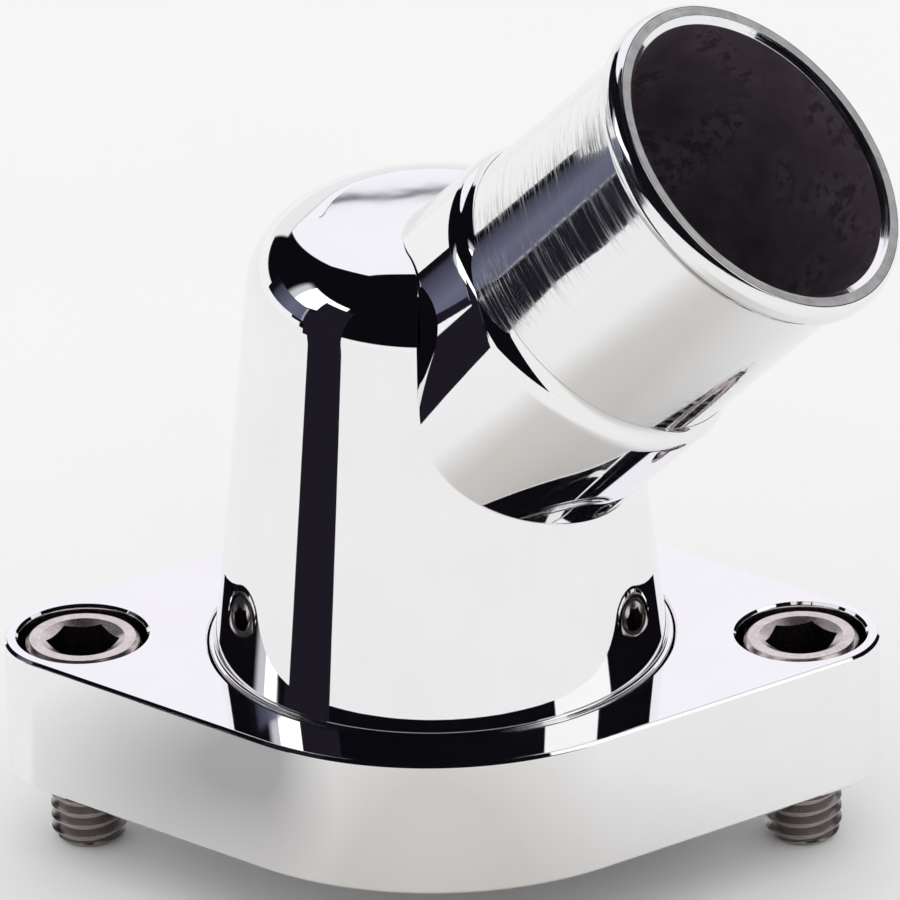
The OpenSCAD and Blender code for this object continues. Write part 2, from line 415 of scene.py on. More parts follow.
def seal_rubber():
    """Black nitrile rubber: nearly matte, with a grey bloom and a moulding grain."""
    paint = Paint("seal_rubber", (0.02, 0.02, 0.021), 0.0, 0.5)
    bloom = paint.noise(paint.coords, 3 * MM, 5, 0.6, 1.5)
    grain = paint.noise(paint.coords, 0.12 * MM, 3, 0.6)
    paint.set("Base Color", paint.shades(bloom, (0.2, (0.012, 0.012, 0.013)), (1.0, (0.045, 0.045, 0.05))))
    paint.set("Roughness", paint.remap(bloom, 0, 1, 0.38, 0.62))
    paint.bump(grain, 0.01 * MM)
    return paint.material


def bearing_plastic():
    """Ivory acetal, turned, with lines round the axis."""
    paint = Paint("bearing_plastic", (0.8, 0.79, 0.74), 0.0, 0.4)
    place = paint.in_frame(UPRIGHT_FRAME)
    lines = paint.facing_lines(place, place[2], 0.15 * MM, 3, 0.6)
    cloud = paint.noise(paint.coords, 4 * MM, 3, 0.5)
    paint.set("Base Color", paint.shades(cloud, (0.2, (0.72, 0.70, 0.63)), (0.8, (0.84, 0.83, 0.78))))
    paint.set("Subsurface Weight", 0.05)
    paint.set("Roughness", paint.remap(lines, 0, 1, 0.32, 0.5))
    paint.bump(lines, 0.006 * MM)
    return paint.material


def spring_steel():
    """Stamped spring steel, oiled black-grey."""
    paint = Paint("spring_steel", (0.2, 0.2, 0.21), roughness=0.35)
    grain = paint.noise(paint.coords, 0.25 * MM, 4, 0.65, 1.3)
    oil = paint.noise(paint.coords, 3 * MM, 4, 0.6, 1.5)
    paint.set("Base Color", paint.shades(oil, (0.1, (0.09, 0.09, 0.10)), (0.9, (0.27, 0.26, 0.25))))
    paint.set("Roughness", paint.remap(grain, 0, 1, 0.25, 0.45))
    paint.bump(grain, 0.008 * MM)
    return paint.material


body_metal = polished_aluminium("polished_upright", UPRIGHT_FRAME, 0.02, 0.004 * MM)
flange_metal = polished_aluminium("polished_flange", UPRIGHT_FRAME, 0.03, 0.008 * MM)
tube_metal = brushed_tube()
face_metal = brushed_face()
bore_metal = bore_painted_shade()
screw_metal = screw_steel("screw_steel", 1.0)
# the thread's copy has its colour halved: painted shade
thread_metal_painted_shade = screw_steel("thread_steel_painted_shade", 0.5)
socket_shade_metal = socket_painted_shade()
rubber = seal_rubber()
plastic = bearing_plastic()
ring_steel = spring_steel()


# ---------------------------------------------------------------- flange
FLANGE_EDGE = 0.4                             # chamfer round the flange, top and bottom
FLANGE_SOFT = 0.2                             # rounding of its corners
SEAT_R, SEAT_Z = 28.95, FLANGE_T - 3.6        # counterbore that the collar turns in
SEAT_CHAMFER = 0.22
SPIGOT_BORE_R = 25.45
RECESS_R, WEB_Z = 28.8, 6.4                   # recess underneath for the retaining ring
SEAL_IN, SEAL_OUT, SEAL_DEPTH = 30.4, 33.9, 2.2
HEAD_H = 9.525                                # a 3/8 in screw's head
CBORE_R, CBORE_Z = 8.0, SCREW_TOP - HEAD_H
CBORE_CHAMFER = 0.35
BOLT_HOLE_R = 5.15
LOBE_STEPS, WAIST_STEPS = 40, 30              # vertices in a quarter of the outline
HOLE_COLUMNS = 96                             # vertices round a bolt hole


def flange_outline(inset):
    """The rounded rhombus, counter-clockwise, with its points at the same places round it for any inset."""
    tangent = math.acos((WAIST_R - LOBE_R) / HALF)
    loop = []
    for quarter in range(4):
        # quarter 0 goes from the +X lobe to the +Y side, quarter 1 on to the -X lobe, and so on
        sx = 1 if quarter in (0, 3) else -1
        sy = 1 if quarter in (0, 1) else -1
        lobe = [tangent * i / LOBE_STEPS for i in range(LOBE_STEPS + 1)]
        waist = [tangent + (math.pi / 2 - tangent) * i / WAIST_STEPS for i in range(WAIST_STEPS + 1)]
        points = [(sx * HALF, a, LOBE_R) for a in lobe] + [(0, a, WAIST_R) for a in waist]
        if quarter in (1, 3):
            points.reverse()
        for x, a, r in points[:-1]:
            n = Vector((sx * math.cos(a), sy * math.sin(a), 0))
            loop.append((Vector((x, 0, 0)) + n * (r - inset), n))
    return loop


def level_ring(sample, angles, x=0.0):
    """The loop that one sample of a profile makes about a vertical axis at x."""
    r, z = sample[:2]
    return [Vector((x + r * math.cos(a), r * math.sin(a), z)) for a in angles]


def build_flange():
    shell = Shell()
    top, edge, soft = FLANGE_T, FLANGE_EDGE, FLANGE_SOFT
    # Each profile starts and ends with a line along the flat face beside it, which only gives the corner
    # its direction and is left out.
    side = profile([(-edge - 1, 0), (-edge, 0, soft), (0, edge, soft),
                    (0, top - edge, soft), (-edge, top, soft), (-edge - 1, top)], 3)[1:-1]
    for piece in side:
        rings = []
        for r, z, nr, nz in piece:
            rings.append([(p + Vector((0, 0, z)), Vector((n.x * nr, n.y * nr, nz)))
                          for p, n in flange_outline(-r)])
        shell.rows(rings)
    outer_bottom = [p for p, n in flange_outline(-side[0][0][0])]
    outer_top = [p + Vector((0, 0, top)) for p, n in flange_outline(-side[-1][-1][0])]

    # swivel bore, from the top face down to the underside
    wide = even(COLUMNS)
    bore = profile([(SEAT_R + 1, top), (SEAT_R + SEAT_CHAMFER, top, 0.06), (SEAT_R, top - SEAT_CHAMFER, 0.1),
                    (SEAT_R, SEAT_Z, 0.3), (SPIGOT_BORE_R, SEAT_Z, 0.2), (SPIGOT_BORE_R, WEB_Z, 0.15),
                    (RECESS_R, WEB_Z, 0.3), (RECESS_R, 0, 0.25), (RECESS_R + 1, 0)])[1:-1]
    shell.turned(bore, wide)
    # face seal groove
    groove = profile([(SEAL_IN - 1, 0), (SEAL_IN, 0, 0.15), (SEAL_IN, SEAL_DEPTH, 0.25),
                      (SEAL_OUT, SEAL_DEPTH, 0.25), (SEAL_OUT, 0, 0.15), (SEAL_OUT + 1, 0)])[1:-1]
    shell.turned(groove, wide)
    # bolt holes
    narrow = even(HOLE_COLUMNS)
    top_loops = [outer_top, level_ring(bore[0][0], wide)]
    bottom_loops = [outer_bottom, level_ring(groove[-1][-1], wide)]
    hole = profile([(CBORE_R + 1, top), (CBORE_R + CBORE_CHAMFER, top, 0.06),
                    (CBORE_R, top - CBORE_CHAMFER, 0.15), (CBORE_R, CBORE_Z, 0.3),
                    (BOLT_HOLE_R, CBORE_Z, 0.2), (BOLT_HOLE_R, 0, 0.3), (BOLT_HOLE_R + 1, 0)])[1:-1]
    for x in (-HALF, HALF):
        shell.turned(hole, narrow, Matrix.Translation((x, 0, 0)))
        top_loops.append(level_ring(hole[0][0], narrow, x))
        bottom_loops.append(level_ring(hole[-1][-1], narrow, x))
    shell.flat(top_loops, True)
    shell.flat(bottom_loops, False)
    shell.flat([level_ring(groove[0][0], wide), level_ring(bore[-1][-1], wide)], False)
    return shell.build("flange_shell", [flange_metal])


# ---------------------------------------------------------------- upright with its boss
FOOT_R, FOOT_Z = 27.95, FLANGE_T + 0.45
TAPER = 0.108                                 # loss of radius per mm of height
TOP_Z, TOP_ROUND = 74.9, 10.0
COLLAR_R, COLLAR_Z = 28.7, SEAT_Z + 0.8
SPIGOT_R, SPIGOT_Z = 25.4, 2.4
SPIGOT_CHAMFER = 0.6
# middle height, width and bottom radius of the grooves: the retaining ring's and the two seals'
SPIGOT_GROOVES = ((4.35, 1.3, 24.2), (8.45, 2.5, 23.62), (12.25, 2.5, 23.62))
INLET_R, INLET_Z = 21.0, 20.0                 # passage below, up to where it narrows
PASSAGE_R, PASSAGE_Z = 19.5, 24.0             # and above, from where it has narrowed
ELBOW_R, ELBOW_FROM, ELBOW_STEPS = 30.0, 13.0, 12
# the boss is a cylinder up to BOSS_ARC along the neck, and then rounds down to the tube at BOSS_END
BOSS_R, BOSS_ARC, BOSS_END = 21.6, 30.9, 34.5
TUBE_R, TUBE_BORE_R = 20.4, 18.9
SOCKET_R, SOCKET_FROM = TUBE_R + 0.02, 24.0
BLEND = 0.5                                   # radius of the fillet between upright and boss
BLEND_STEPS, TAPER_STEPS, BOSS_STEPS = 6, 110, 24
SEARCH_STEPS, HALVINGS, FINE_COLUMNS = 90, 34, 1440      # for finding where the fillet lies


def upright_outside():
    """A function that gives (r, z, normal r, normal z) by the distance up the outside, and its length."""
    slant = math.atan(TAPER)
    c, s = math.cos(slant), math.sin(slant)
    round_z = TOP_Z - TOP_ROUND
    round_r = FOOT_R - TAPER * (round_z - FOOT_Z) - TOP_ROUND / c
    end = (round_r + TOP_ROUND * c, round_z + TOP_ROUND * s)
    straight = math.hypot(end[0] - FOOT_R, end[1] - FOOT_Z)
    bend = TOP_ROUND * (math.pi / 2 - slant)

    def at(d):
        if d <= straight:
            t = d / straight
            return FOOT_R + (end[0] - FOOT_R) * t, FOOT_Z + (end[1] - FOOT_Z) * t, c, s
        if d <= straight + bend:
            a = slant + (d - straight) / TOP_ROUND
            nr, nz = math.cos(a), math.sin(a)
            return round_r + TOP_ROUND * nr, round_z + TOP_ROUND * nz, nr, nz
        return round_r - (d - straight - bend), TOP_Z, 0.0, 1.0

    return at, straight + bend + round_r


def junction():
    """Where a ball that rolls along the crotch touches the upright and the boss, one row per column:

    angle about the upright, angle about the neck, distance up the upright's outside, distance along the neck,
    the ball's centre, the upright's normal and the boss's normal.
    """
    at, length = upright_outside()
    to_neck = NECK_FRAME.inverted()
    spin = NECK_FRAME.to_3x3()

    def centre(phi, d):
        r, z, nr, nz = at(d)
        m = Vector((math.cos(phi), math.sin(phi), 0))
        return m * (r + BLEND * nr) + Vector((0, 0, z + BLEND * nz)), m * nr + Vector((0, 0, nz))

    def outside(phi, d):
        local = to_neck @ centre(phi, d)[0]
        return local.z < 0 or math.hypot(local.x, local.y) > BOSS_R + BLEND

    def solve(phi):
        for i in range(1, SEARCH_STEPS + 1):
            high = length * i / SEARCH_STEPS
            if not outside(phi, high):
                low = length * (i - 1) / SEARCH_STEPS
                for _ in range(HALVINGS):
                    mid = (low + high) / 2
                    if outside(phi, mid):
                        low = mid
                    else:
                        high = mid
                break
        ball, n_upright = centre(phi, high)
        local = to_neck @ ball
        theta = math.atan2(local.y, local.x)
        n_boss = spin @ Vector((math.cos(theta), math.sin(theta), 0))
        return phi, theta, high, local.z, ball, n_upright, n_boss

    # spread the columns evenly over both angles at once
    fine = [solve(math.pi * i / FINE_COLUMNS) for i in range(FINE_COLUMNS + 1)]
    spread = [0.0]
    for a, b in zip(fine, fine[1:]):
        spread.append(spread[-1] + (b[0] - a[0]) + abs(b[1] - a[1]))
    half = COLUMNS // 2
    rows, k = [], 0
    for j in range(half + 1):
        want = spread[-1] * j / half
        while k < len(spread) - 2 and spread[k + 1] < want:
            k += 1
        t = (want - spread[k]) / (spread[k + 1] - spread[k])
        rows.append(solve(fine[k][0] + (fine[k + 1][0] - fine[k][0]) * t))
    flip = Vector((1, -1, 1))
    mirror = []
    for phi, theta, d, along, ball, n1, n2 in reversed(rows[1:-1]):
        mirror.append((2 * math.pi - phi, 2 * math.pi - theta, d, along, ball * flip, n1 * flip, n2 * flip))
    return rows + mirror


def build_upright():
    shell = Shell()
    at, length = upright_outside()
    rows = junction()
    phis = [row[0] for row in rows]
    thetas = [row[1] for row in rows]

    # spigot with its grooves, collar and foot
    spigot_edge = SPIGOT_Z + SPIGOT_CHAMFER
    corners = [(INLET_R, spigot_edge), (INLET_R + SPIGOT_CHAMFER, SPIGOT_Z, 0.1),
               (SPIGOT_R - SPIGOT_CHAMFER, SPIGOT_Z, 0.1), (SPIGOT_R, spigot_edge, 0.1)]
    for z, w, r in SPIGOT_GROOVES:
        corners += [(SPIGOT_R, z - w / 2, 0.12), (r, z - w / 2, 0.15),
                    (r, z + w / 2, 0.15), (SPIGOT_R, z + w / 2, 0.12)]
    corners += [(SPIGOT_R, COLLAR_Z, 0.3), (COLLAR_R, COLLAR_Z, 0.15), (COLLAR_R, FLANGE_T, 0.22),
                (FOOT_R + 0.03, FLANGE_T, 0.42), (FOOT_R, FOOT_Z)]
    shell.turned(profile(corners), phis)

    # taper and rounded top, up to the fillet
    rings = []
    for i in range(TAPER_STEPS + 1):
        ring = []
        for phi, theta, d, along, ball, n1, n2 in rows:
            r, z, nr, nz = at(d * i / TAPER_STEPS)
            ring.append((Vector((r * math.cos(phi), r * math.sin(phi), z)),
                         Vector((nr * math.cos(phi), nr * math.sin(phi), nz))))
        rings.append(ring)
    shell.rows(rings)

    # fillet
    rings = []
    for i in range(BLEND_STEPS + 1):
        t = i / BLEND_STEPS
        ring = []
        for phi, theta, d, along, ball, n1, n2 in rows:
            angle = n1.angle(n2)
            n = (n1 * math.sin((1 - t) * angle) + n2 * math.sin(t * angle)) / math.sin(angle)
            ring.append((ball - n * BLEND, n))
        rings.append(ring)
    shell.rows(rings)

    # boss, from the fillet to where it starts to round down
    rings = []
    for i in range(BOSS_STEPS + 1):
        t = i / BOSS_STEPS
        ring = []
        for phi, theta, d, along, ball, n1, n2 in rows:
            z = along + (BOSS_ARC - along) * t
            ring.append((NECK_FRAME @ Vector((BOSS_R * math.cos(theta), BOSS_R * math.sin(theta), z)), n2))
        rings.append(ring)
    shell.rows(rings)

    # rounded end, socket and passage
    lip_r = SOCKET_R + 0.02
    drop, span = BOSS_R - lip_r, BOSS_END - BOSS_ARC
    round_r = (drop * drop + span * span) / (4 * drop)
    lean = math.asin(span / 2 / round_r)
    outward = arc((BOSS_R - round_r, BOSS_ARC), round_r, 0, lean, 20)
    inward = arc((lip_r + round_r, BOSS_END), round_r, math.pi + lean, math.pi, 20)
    socket = profile([(lip_r, BOSS_END), (SOCKET_R, BOSS_END), (SOCKET_R, SOCKET_FROM, 0.2),
                      (TUBE_BORE_R, SOCKET_FROM, 0.1), (TUBE_BORE_R, ELBOW_FROM)])
    shell.turned([outward, inward] + socket, thetas, NECK_FRAME)

    # elbow inside, from the neck down into the upright
    bend = math.pi / 2 - NECK_TILT
    low = NECK_Z - ELBOW_R * math.tan(bend / 2)
    stations = [(NECK_FRAME @ Vector((0, 0, ELBOW_FROM)), 1.0)]
    for i in range(ELBOW_STEPS + 1):
        # t is 1 along the neck and 0 along the upright
        t = 1 - i / ELBOW_STEPS
        where = Vector((ELBOW_R * (1 - math.cos(bend * t)), 0, low + ELBOW_R * math.sin(bend * t)))
        stations.append((where, t))
    rings = []
    for where, t in stations:
        across = Vector((math.cos(bend * t), 0, -math.sin(bend * t)))
        r = PASSAGE_R + (TUBE_BORE_R - PASSAGE_R) * t
        ring = []
        for phi, theta in zip(phis, thetas):
            a = phi + (theta - phi) * t
            out = across * math.cos(a) + Vector((0, 1, 0)) * math.sin(a)
            ring.append((where + out * r, -out))
        rings.append(ring)
    shell.rows(rings)
    shell.turned(profile([(PASSAGE_R, low), (PASSAGE_R, PASSAGE_Z, 4), (INLET_R, INLET_Z, 4),
                          (INLET_R, spigot_edge)]), phis)
    return shell.build("upright_shell", [body_metal])


# ---------------------------------------------------------------- hose tube
BEAD_LAND = mounts["hose_end"]["dims"]["length_mm"]      # flat part of the bead's top
BEAD_ROUND, BEAD_FILLET, FACE_EDGE = 1.9, 0.6, 0.3
MOUTH_R, MOUTH_DEPTH = TUBE_BORE_R + 0.85, 0.7           # chamfer inside the mouth


def build_tube():
    shell = Shell()
    start, chamfer = SOCKET_FROM + 0.05, 0.3
    round_r, fillet, edge = BEAD_ROUND, BEAD_FILLET, FACE_EDGE
    back, front = BEAD_L - BEAD_LAND / 2, BEAD_L + BEAD_LAND / 2
    middle = BEAD_R - round_r
    # the fillet behind the bead touches both the tube and the bead
    down = math.sqrt((round_r + fillet) ** 2 - (TUBE_R + fillet - middle) ** 2)
    lean = math.atan2(-down, TUBE_R + fillet - middle)
    # the rounded edge of the face touches both the bead and the face
    nose = math.asin((TUBE_END - edge - front) / (round_r - edge))
    edge_r = middle + (round_r - edge) * math.cos(nose)
    pieces = profile([(TUBE_BORE_R, start + chamfer), (TUBE_BORE_R + chamfer, start, 0.1),
                      (TUBE_R - chamfer, start, 0.1), (TUBE_R, start + chamfer, 0.3), (TUBE_R, back - down)])
    pieces += [arc((TUBE_R + fillet, back - down), fillet, math.pi, math.pi + lean, 10),
               arc((middle, back), round_r, lean, 0, 16),
               line((BEAD_R, back), (BEAD_R, front)),
               arc((middle, front), round_r, 0, nose, 14),
               arc((edge_r, TUBE_END - edge), edge, nose, math.pi / 2, 6)]
    # the face, the chamfer inside it, and the bore
    mouth = profile([(edge_r, TUBE_END), (MOUTH_R, TUBE_END, 0.12),
                     (TUBE_BORE_R, TUBE_END - MOUTH_DEPTH, 0.12), (TUBE_BORE_R, start + chamfer)])
    angles = even(COLUMNS)
    for part, tag in ((pieces, 0), (mouth[:1], 1), (mouth[1:-1], 0), (mouth[-1:], 2)):
        shell.turned(part, angles, TUBE_FRAME, tag)
    return shell.build("tube_shell", [tube_metal, face_metal, bore_metal])


# ---------------------------------------------------------------- cap screws
THREAD_R, PITCH = 4.7625, 25.4 / 16           # 3/8-16
THREAD_DEPTH = 0.61343 * PITCH
THREAD_EDGES = (0.09, 0.44, 0.56, 0.91)       # where the flanks start and end, in pitches from a root
FLANK_STEPS = 3
TIP_SLOPE = 1.15                              # radius gained per mm of height on the chamfered tip
RUN_OUT = 0.8                                 # the thread fades over this many pitches under the head
NECK_R = 4.45
SCREW_COLUMNS = 72                            # vertices round a screw, a multiple of 6
HEX_R, HEX_DEPTH = 7.94 / 2, 4.8
CONE_R, CONE_DEPTH = 5.2, 0.62                # lead-in to the socket: radius at the mouth, depth to the flats
HEAD_CHAMFER = 0.55
DRILL_GAP, DRILL_DEPTH = 0.4, 1.3             # ledge between the sides and the drilled bottom, and its depth


def build_head(shell, x, place, angles):
    """The head and its socket: outside, lead-in cone, six sides and drilled bottom."""
    low, top = SCREW_TOP - HEAD_H, SCREW_TOP
    # the last corner lies down the cone, only to round the mouth towards it, and its line is left out
    head = profile([(NECK_R, low), (HEAD_R, low, 0.15), (HEAD_R, top - HEAD_CHAMFER, 0.25),
                    (HEAD_R - HEAD_CHAMFER, top, 0.25), (CONE_R, top, 0.08), (CONE_R - 0.3, top - 0.3)])[:-1]
    shell.turned(head, angles, place)
    mouth_r, mouth_z = head[-1][-1][:2]
    slope = CONE_DEPTH / (CONE_R - HEX_R)
    per_side = SCREW_COLUMNS // 6
    floor_z = top - HEX_DEPTH
    up = Vector((0, 0, 1))
    mouth, hexagon, brim, bottom, drilled, inward = [], [], [], [], [], []
    for k, a in enumerate(angles):
        part = (k % per_side) / per_side * math.pi / 3 - math.pi / 6
        wall = HEX_R / math.cos(part)
        out = Vector((math.cos(a), math.sin(a), 0))
        cone = Vector((-out.x * slope, -out.y * slope, 1)).normalized()
        edge = Vector((x, 0, top - (CONE_R - wall) * slope)) + out * wall
        foot = Vector((x, 0, floor_z)) + out * wall
        facing = angles[0] + (k // per_side + 0.5) * math.pi / 3
        mouth.append((Vector((x, 0, mouth_z)) + out * mouth_r, cone))
        hexagon.append((edge, cone))
        brim.append(edge)
        bottom.append((foot, up))
        drilled.append((Vector((x, 0, floor_z)) + out * (HEX_R - DRILL_GAP), up))
        inward.append(Vector((-math.cos(facing), -math.sin(facing), 0)))
    shell.rows([mouth, hexagon])
    for k in range(SCREW_COLUMNS):
        n = (k + 1) % SCREW_COLUMNS
        shell.add([brim[k], brim[n], bottom[n][0], bottom[k][0]], [inward[k]] * 4, 1)
    shell.rows([bottom, drilled], 1)
    drill = profile([(HEX_R - DRILL_GAP, floor_z), (DRILL_GAP, floor_z - DRILL_DEPTH + 0.1),
                     (0.0, floor_z - DRILL_DEPTH)])
    shell.turned(drill, angles, place, 1)


def thread_profile(turns):
    """(height, radius) up a thread that starts one turn below the tip."""
    root = THREAD_R - THREAD_DEPTH
    radii = (root, THREAD_R, THREAD_R, root)
    one = [(0.0, root)] + [(PITCH * edge, r) for edge, r in zip(THREAD_EDGES, radii)] + [(PITCH, root)]
    heights = []
    for turn in range(-1, turns):
        start = SCREW_TIP + turn * PITCH
        for (z0, r0), (z1, r1) in zip(one, one[1:]):
            parts = FLANK_STEPS if r0 != r1 else 1
            for i in range(parts):
                heights.append((start + z0 + (z1 - z0) * i / parts, r0 + (r1 - r0) * i / parts))
    return heights


def build_thread(shell, x, place, angles):
    """Rows of faces that follow the helix, clipped at the tip and under the head."""
    low, high = SCREW_TIP, SCREW_TOP - HEAD_H
    tip_r = THREAD_R - THREAD_DEPTH - 0.35
    heights = thread_profile(int((high - low) / PITCH) + 3)

    def point(k, z, r):
        a = angles[k % SCREW_COLUMNS]
        z += PITCH * k / SCREW_COLUMNS
        if z <= low:
            z, r = low, tip_r
        elif z >= high:
            z, r = high, NECK_R
        else:
            r = min(r, tip_r + (z - low) * TIP_SLOPE)
            r = NECK_R + (r - NECK_R) * min(1.0, (high - z) / (RUN_OUT * PITCH))
        return Vector((x + r * math.cos(a), r * math.sin(a), z))

    for a, b in zip(heights, heights[1:]):
        for k in range(SCREW_COLUMNS):
            p = [point(k, *a), point(k + 1, *a), point(k + 1, *b), point(k, *b)]
            n = (p[1] - p[0]).cross(p[3] - p[0]) + (p[2] - p[1]).cross(p[3] - p[2])
            if n.length > 1e-9:
                shell.add(p, [n.normalized()] * 4, 2)
    shell.turned(profile([(0.0, low), (tip_r, low)]), angles, place, 2)


def build_screw(name, x, turn):
    shell = Shell()
    angles = even(SCREW_COLUMNS, math.radians(turn))
    place = Matrix.Translation((x, 0, 0))
    build_head(shell, x, place, angles)
    build_thread(shell, x, place, angles)
    return shell.build(name, [screw_metal, socket_shade_metal, thread_metal_painted_shade])


# ---------------------------------------------------------------- pieces
flange = build_flange()
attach(flange, "base")
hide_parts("flange")

upright = build_upright()
upright.data.transform(INTO_PLACE)
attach(upright, "neck")
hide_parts("swivel_body")

tube = build_tube()
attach(tube, "neck")
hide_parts("hose_tube")

for side, x, turn in (("left", -HALF, 4), ("right", HALF, 14)):
    screw = build_screw("screw_" + side, x, turn)
    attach(screw, "base")
    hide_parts("cap_screws")

for node, material in (("face_oring", rubber), ("upper_oring", rubber), ("lower_oring", rubber),
                       ("thrust_washer", plastic), ("backing_washer", ring_steel),
                       ("retaining_ring", ring_steel)):
    piece = frame["nodes"][node]
    for slot in piece.material_slots:
        slot.material = material

# ---------------------------------------------------------------- floor, light and camera
# Directions round the studio: azimuth 0 is towards the viewer, -90 to the left, 90 to the right and
# 180 behind, and elevation 0 is level, all in degrees.
#
# Dull surfaces are lit by an even white sky. Only reflections see the studio: softboxes, a backdrop and dark
# cloths in the world for what is far away, and cards for what is near the part.
FLOOR_REACH = 1500
FLOOR_COLOR = (0.93, 0.93, 0.935)
NIGHT = (0.0035, 0.003, 0.005)
CARD_BLACK = (0.013, 0.011, 0.018)
CARD_STEPS = 24
STRIP_AT, WALL_AT = 100, 166                  # distance of the near cards from the swivel axis
WALL_AZ = (-113.5, -76, -52)                  # far end of the shaded wall, its corner, and its near end
WALL_TOP = 122


def stage_mesh(name, corners, faces, material):
    mesh = bpy.data.meshes.new(name)
    mesh.from_pydata([Vector(c) * MM for c in corners], [], faces)
    mesh.materials.append(material)
    piece = bpy.data.objects.new(name, mesh)
    bpy.context.scene.collection.objects.link(piece)
    return piece


def only_reflected(card):
    card.visible_camera = False
    card.visible_diffuse = False
    card.visible_shadow = False
    card.visible_transmission = False
    card.visible_volume_scatter = False


def curved_card(name, radius, azimuths, heights, material):
    """An upright card bent round the swivel axis. Only reflections see it."""
    corners, faces = [], []
    for i in range(CARD_STEPS + 1):
        a = math.radians(azimuths[0] + (azimuths[1] - azimuths[0]) * i / CARD_STEPS)
        corners += [(radius * math.sin(a), -radius * math.cos(a), z) for z in heights]
    for i in range(CARD_STEPS):
        faces.append((2 * i, 2 * i + 2, 2 * i + 3, 2 * i + 1))
    only_reflected(stage_mesh(name, corners, faces, material))


def glowing(paint, color):
    """Makes a material give even light of a colour, which is a node's output or four numbers."""
    light = paint.node("ShaderNodeEmission", color)
    paint.feed(paint.nodes["Material Output"].inputs["Surface"], light)
    return paint.material


def shaded_wall():
    """A dark cloth that is a little lighter where it faces the window, by its azimuth."""
    paint = Paint("card_shaded", CARD_BLACK)
    x, y, z = paint.split(paint.coords)
    turn = paint.math("DEGREES", paint.math("ARCTAN2", x, paint.math("MULTIPLY", y, -1.0)))
    dark = (0.006, 0.005, 0.008)
    color = paint.shades(paint.remap(turn, WALL_AZ[0], WALL_AZ[1], 0, 1),
                         (0.0, dark), (0.13, dark), (0.23, (0.05, 0.053, 0.082)),
                         (0.65, (0.141, 0.147, 0.216)), (0.92, (0.115, 0.12, 0.18)),
                         (0.95, (0.45, 0.46, 0.5)), (0.98, (0.012, 0.008, 0.012)))
    return glowing(paint, color)


def floor_spot(paint, x, y, radius, soft):
    """1 inside a round spot on the floor, 0 outside it. In millimetres."""
    middle = (x * MM, y * MM, SCREW_TIP * MM)
    away = paint.node("ShaderNodeVectorMath", paint.coords, middle, operation="DISTANCE")
    return paint.remap(away.node.outputs["Value"], (radius - soft) * MM, (radius + soft) * MM, 1, 0)


def plain_floor():
    """Plain to the eye. Polished metal sees it a little darker close to the part: painted shadows, of the
    part in front of it and of the black strip near its foot.
    """
    paint = Paint("floor_paint", FLOOR_COLOR, 0.0, 0.75)
    cloud = paint.noise(paint.coords, 60 * MM, 3, 0.5)
    plain = paint.shades(cloud, (0.3, (0.925, 0.925, 0.93)), (0.7, (0.94, 0.94, 0.945)))
    # painted shadow of the part on the floor in front of it, seen only in reflections
    glossy_painted_shadows = paint.mix(floor_spot(paint, 0, -60, 48, 22), plain, (0.70, 0.68, 0.65))
    # darker painted shadow near the foot of the black strip card, seen only in reflections
    glossy_painted_shadows = paint.mix(floor_spot(paint, -68, -43, 23, 14), glossy_painted_shadows, (0.44, 0.43, 0.43))
    on_glossy = paint.nodes.new("ShaderNodeLightPath").outputs["Is Glossy Ray"]
    paint.set("Base Color", paint.mix(on_glossy, plain, glossy_painted_shadows))
    paint.set("Specular IOR Level", 0.1)
    return paint.material


corners = [(sx * FLOOR_REACH, sy * FLOOR_REACH, SCREW_TIP) for sx, sy in ((-1, -1), (1, -1), (1, 1), (-1, 1))]
stage_mesh("floor", corners, [(0, 1, 2, 3)], plain_floor())

card_black = glowing(Paint("card_black", CARD_BLACK), (*CARD_BLACK, 1))
curved_card("black_strip", STRIP_AT, (-69.5, -47.5), (SCREW_TIP, 130), card_black)
curved_card("shaded_wall_far", WALL_AT, WALL_AZ[:2], (80, WALL_TOP), shaded_wall())
curved_card("shaded_wall_near", WALL_AT, WALL_AZ[1:], (46, WALL_TOP), card_black)
curved_card("shaded_wall_foot", WALL_AT, (-86, WALL_AZ[1]), (73, 80), card_black)
# a thin rail in front of the backdrop, seen as a line in the upright's flat top
RAIL_Y, RAIL_HALF = 600, 0.6
rail = [(-90, RAIL_Y, 354 - RAIL_HALF), (0, RAIL_Y, 345 - RAIL_HALF),
        (0, RAIL_Y, 345 + RAIL_HALF), (-90, RAIL_Y, 354 + RAIL_HALF)]
only_reflected(stage_mesh("rail", rail, [(0, 1, 2, 3)], card_black))


class Sky(Graph):
    """The studio as seen in reflections, painted on the world from large even patches of light."""

    def __init__(self, world):
        world.use_nodes = True
        super().__init__(world.node_tree)
        self.nodes.clear()
        x, y, z = self.split(self.nodes.new("ShaderNodeTexCoord").outputs["Generated"])
        self.azimuth = self.math("DEGREES", self.math("ARCTAN2", x, self.math("MULTIPLY", y, -1.0)))
        self.elevation = self.math("DEGREES", self.math("ARCSINE", z))
        self.behind = self.math("ABSOLUTE", self.azimuth)
        # the backdrop narrows below 50 degrees, and the left softbox's low edge hangs at a slant
        below = self.math("MINIMUM", self.math("SUBTRACT", self.elevation, 50.0), 0.0)
        self.narrowing = self.math("ADD", self.behind, self.math("MULTIPLY", below, 0.6))
        slant = self.math("MULTIPLY", self.math("ADD", self.azimuth, 60.0), 0.42)
        self.softbox_low = self.math("ADD", slant, 30.0)

    def beyond(self, value, at, soft):
        away = self.math("SUBTRACT", value, at)
        return self.node("ShaderNodeMapRange", away, -soft, soft, 0.0, 1.0, interpolation_type="SMOOTHSTEP")

    def between(self, value, low, high, soft):
        short = self.math("SUBTRACT", 1.0, self.beyond(value, high, soft))
        return self.math("MULTIPLY", self.beyond(value, low, soft), short)

    def patch(self, under, around, az, el, soft, color):
        """Lays an even area of light over what is there already."""
        mask = self.math("MULTIPLY", self.between(around, *az, soft), self.between(self.elevation, *el, soft))
        return self.mix(mask, under, color)


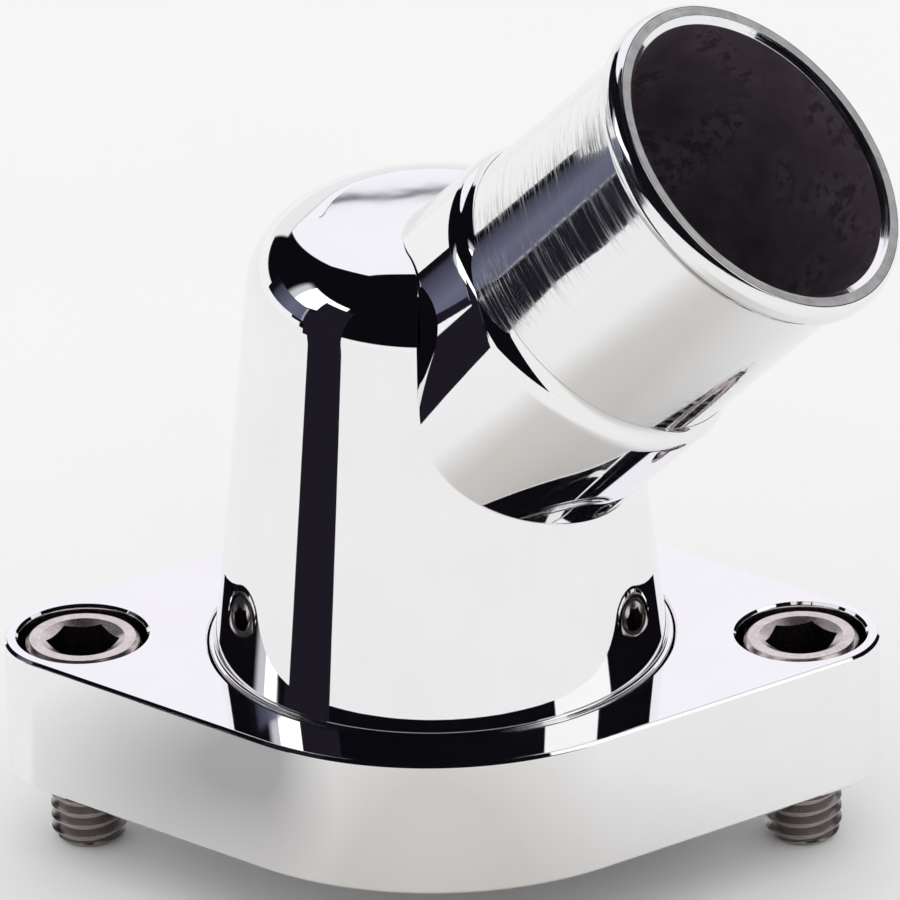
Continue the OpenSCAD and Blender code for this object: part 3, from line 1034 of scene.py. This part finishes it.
world = bpy.data.worlds.new("studio")
bpy.context.scene.world = world
sky = Sky(world)
room = NIGHT
for around, az, el, soft, color in (
        # floor running forward, low light behind on the left, and on the right
        (sky.azimuth, (-56, 62), (-90, 4), 0.4, (0.93, 0.93, 0.93)),
        (sky.azimuth, (-185, -84), (-90, 8.5), 0.5, (0.95, 0.95, 0.95)),
        (sky.azimuth, (62, 185), (-90, 3), 0.5, (0.95, 0.95, 0.95)),
        # foot of the backdrop, and the backdrop
        (sky.behind, (150, 190), (3, 21), 1.2, (0.87, 0.87, 0.88)),
        (sky.narrowing, (137, 190), (21, 64), 0.6, (0.98, 0.96, 1.02)),
        # dark cloth on the left
        (sky.azimuth, (-76, -57), (8, 32), 0.8, (0.035, 0.028, 0.045)),
        # spill beside the left softbox, that softbox, and the one on the right
        (sky.azimuth, (-104, -90), (sky.softbox_low, 38), 3.0, (0.62, 0.63, 0.66)),
        (sky.azimuth, (-97, -60), (sky.softbox_low, 40), 0.5, (1.65, 1.67, 1.7)),
        (sky.azimuth, (60, 95), (10, 65), 0.5, (1.08, 1.08, 1.08))):
    room = sky.patch(room, around, az, el, soft, color)
on_glossy = sky.nodes.new("ShaderNodeLightPath").outputs["Is Glossy Ray"]
background = sky.node("ShaderNodeBackground", sky.mix(on_glossy, (1.0, 1.0, 1.0), room))
sky.feed(sky.nodes.new("ShaderNodeOutputWorld").inputs["Surface"], background)

# The camera looks down at a point on the swivel axis, at the photo's angle.
AZ, EL, ROLL = math.radians(3.135), math.radians(26.046), math.radians(-1.575)
DISTANCE, FOCAL = 1.65266, 537.34
AIM = Vector((0, 0, 0.035))
camera_data = bpy.data.cameras.new("camera")
camera_data.lens = FOCAL
camera_data.sensor_width = 36
camera_data.shift_x = 0.01357
camera_data.shift_y = 0.06394
camera_data.clip_start = 0.05
camera = bpy.data.objects.new("camera", camera_data)
forward = Vector((-math.sin(AZ) * math.cos(EL), math.cos(AZ) * math.cos(EL), -math.sin(EL)))
right = Vector((math.cos(AZ), math.sin(AZ), 0))
up = right.cross(forward)
rolled_right = right * math.cos(ROLL) + up * math.sin(ROLL)
rolled_up = up * math.cos(ROLL) - right * math.sin(ROLL)
turn = Matrix((rolled_right, rolled_up, -forward)).transposed().to_4x4()
camera.matrix_world = Matrix.Translation(AIM - forward * DISTANCE) @ turn
bpy.context.scene.collection.objects.link(camera)
bpy.context.scene.camera = camera
bpy.context.scene.view_settings.view_transform = "Standard"
